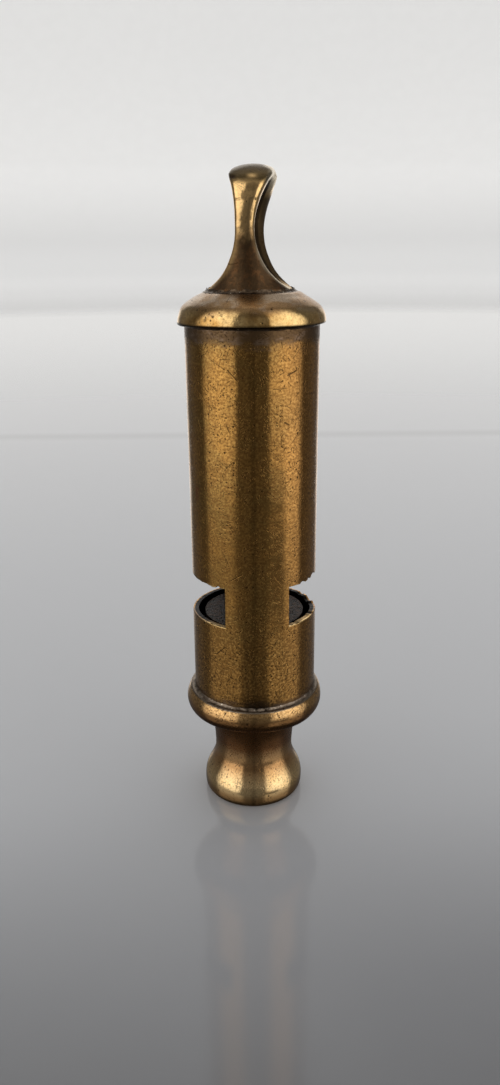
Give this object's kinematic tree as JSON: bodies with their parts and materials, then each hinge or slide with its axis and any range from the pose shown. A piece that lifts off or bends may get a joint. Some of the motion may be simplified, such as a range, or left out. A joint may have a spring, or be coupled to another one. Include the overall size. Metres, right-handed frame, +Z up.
{
  "type": "escort whistle",
  "caption": "Cylindrical two-tone brass whistle with side windows, turned collared mouthpiece, domed cap and cast suspension loop.",
  "frame": {"origin": "centre of the flat mouth end, which the whistle stands on", "axes": "+Z up the tube from the mouth end to the suspension loop, -Y towards the front bridge, the windows face -X and +X"},
  "size_m": [0.0182, 0.0182, 0.0806],
  "materials": {
    "barrel_brass": "aged brass, satin where rubbed, brown patina, fine pits and scratches",
    "cap_brass": "aged brass, polished by handling on the rim, brown patina above",
    "loop_brass": "cast brass, rubbed bright on the crown, brown patina on the stem",
    "mouthpiece_brass": "turned brass, rubbed bright on the bulb and bead, brown patina in the neck",
    "plug_metal": "dark grey-brown tarnish, rough",
    "inner_brass": "dull brown tarnish",
    "solder": "dull grey soft solder"
  },
  "bodies": {
    "root": {"body_tube": "barrel_brass", "end_cap": "cap_brass", "suspension_loop": "loop_brass", "mouthpiece": "mouthpiece_brass", "windway_plug": "plug_metal", "chamber_divider": "inner_brass", "chamber_stop": "inner_brass", "loop_solder": "solder", "cap_solder": "solder", "collar_solder": "solder"}
  },
  "joints": []
}
